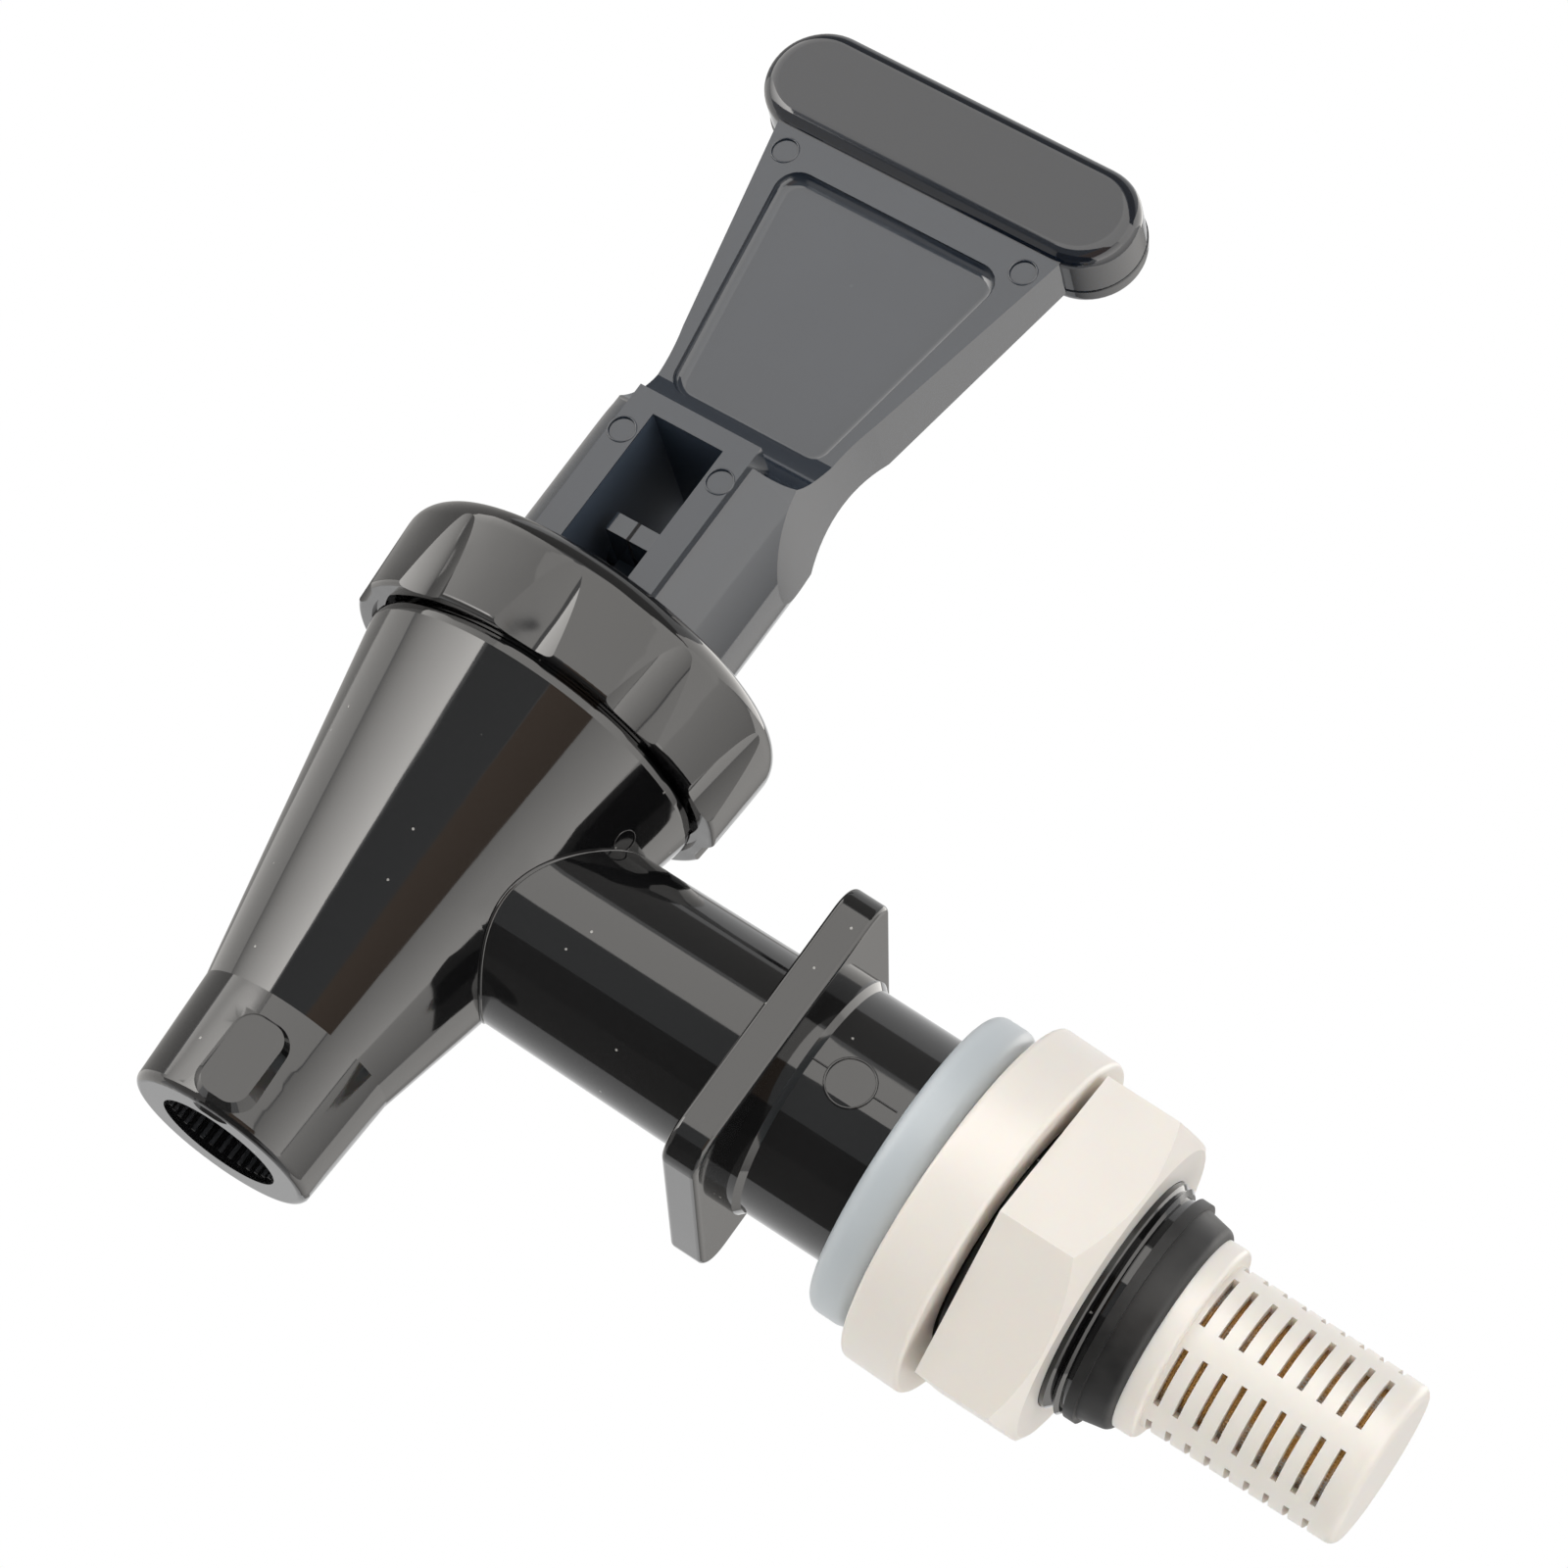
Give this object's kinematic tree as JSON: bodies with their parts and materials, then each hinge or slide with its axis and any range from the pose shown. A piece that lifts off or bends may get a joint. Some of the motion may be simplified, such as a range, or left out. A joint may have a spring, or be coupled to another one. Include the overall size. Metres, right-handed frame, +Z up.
{
  "type": "dispenser tap",
  "caption": "Self-closing dispenser tap with a tilting paddle lever, conical spout, square flange, clamp nut and slotted inlet filter.",
  "frame": {"origin": "on the shank's axis, in the seating face of the square flange", "axes": "+X along the shank into the tank, +Z up along the spout and stem towards the lever, -Y the front"},
  "size_m": [0.105, 0.0346, 0.1054],
  "materials": {
    "black_body": "gloss",
    "black_bonnet": "gloss",
    "clear_silicone": "satin",
    "stem_plastic": "satin",
    "spring_steel": "satin",
    "white_plastic": "satin",
    "lever_plastic": "gloss",
    "silicone": "satin",
    "ivory_plastic": "satin",
    "black_rubber": "matt",
    "filter_plastic": "satin",
    "screen_mesh": "matt"
  },
  "bodies": {
    "tap": {"tap_body": "black_body", "bonnet": "black_bonnet", "seat_cup": "clear_silicone", "silicone_washer": "silicone", "backing_ring": "ivory_plastic", "clamp_nut": "ivory_plastic", "shank_sleeve": "black_rubber", "filter_cage": "filter_plastic", "filter_screen": "screen_mesh"},
    "swivel": {"thrust_washer": "white_plastic", "spring": "spring_steel"},
    "stem": {"stem": "stem_plastic"},
    "lever": {"lever": "lever_plastic"}
  },
  "joints": [
    {"name": "lever_swivel", "type": "hinge", "parent": "tap", "child": "swivel", "pos_m": [-0.034, 0, 0.0227], "axis": [0, 0, 1], "continuous": true},
    {"name": "stem_lift", "type": "slide", "parent": "swivel", "child": "stem", "axis": [0, 0, 1], "range_m": [0, 0.0027], "stiffness_N_per_m": 400, "springref_m": -0.005, "deforming": ["spring", "seat_cup"]},
    {"name": "lever_tilt", "type": "hinge", "parent": "stem", "child": "lever", "pos_m": [-0.034, 0, 0.0296], "axis": [0.9848, -0.1736, 0], "range_deg": [0, 27]}
  ],
  "couplings": [
    {"joint": "lever_tilt", "follows": "stem_lift", "rad_per_m": 174.16}
  ]
}
